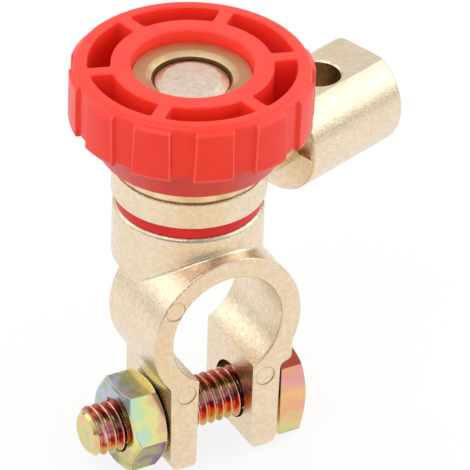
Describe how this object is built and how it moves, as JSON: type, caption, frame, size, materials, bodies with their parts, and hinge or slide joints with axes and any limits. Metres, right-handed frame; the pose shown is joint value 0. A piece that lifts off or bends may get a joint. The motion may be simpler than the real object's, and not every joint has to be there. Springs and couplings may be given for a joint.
{
  "type": "battery disconnect switch",
  "caption": "Battery disconnect switch: a split ring clamps on a battery post, and a red screw knob opens or closes the contact to a swivelling round cable post.",
  "frame": {"origin": "centre of the battery post bore, on its axis, 6.95 mm behind the clamp's front face", "axes": "-Y along the post bore towards the battery, +X along the clamp bolt towards its head, +Z along the knob axis towards the knob"},
  "size_m": [0.059, 0.0382, 0.0632],
  "materials": {
    "clamp_casting": "matt cast, champagne gold",
    "terminal_casting": "matt cast, champagne gold",
    "insulator": "matt red moulding",
    "contact_brass": "plain turned",
    "screw_brass": "matt cast",
    "insert_brass": "satin turned",
    "knob_plastic": "satin red moulding",
    "yellow_zinc_bolt": "yellow passivated zinc",
    "yellow_zinc_nut": "yellow passivated zinc"
  },
  "bodies": {
    "clamp": {"clamp_body": "clamp_casting", "insulating_bush": "insulator", "retaining_washer": "insulator"},
    "washer": {"contact_washer": "contact_brass"},
    "knob": {"knob": "knob_plastic", "knob_insert": "insert_brass", "contact_screw": "screw_brass"},
    "terminal": {"terminal": "terminal_casting"},
    "bolt": {"clamp_bolt": "yellow_zinc_bolt"},
    "nut": {"clamp_nut": "yellow_zinc_nut"}
  },
  "joints": [
    {"name": "contact_travel", "type": "slide", "parent": "clamp", "child": "washer", "axis": [0, 0, 1], "range_m": [0, 0.0045]},
    {"name": "knob_turn", "type": "hinge", "parent": "washer", "child": "knob", "pos_m": [0, 0.0064, 0.03], "axis": [0, 0, 1], "range_deg": [0, 1080]},
    {"name": "terminal_swivel", "type": "hinge", "parent": "clamp", "child": "terminal", "pos_m": [0, 0.0064, 0.0201], "axis": [0, 0, 1], "continuous": true},
    {"name": "nut_turn", "type": "hinge", "parent": "clamp", "child": "nut", "pos_m": [-0.01232, 0, -0.0169], "axis": [-1, 0, 0], "range_deg": [0, 360]},
    {"name": "bolt_travel", "type": "slide", "parent": "clamp", "child": "bolt", "axis": [1, 0, 0], "range_m": [0, 0.00141]}
  ],
  "couplings": [
    {"joint": "knob_turn", "follows": "contact_travel", "rad_per_m": 4188.8},
    {"joint": "bolt_travel", "follows": "nut_turn", "m_per_rad": 0.00022457}
  ]
}
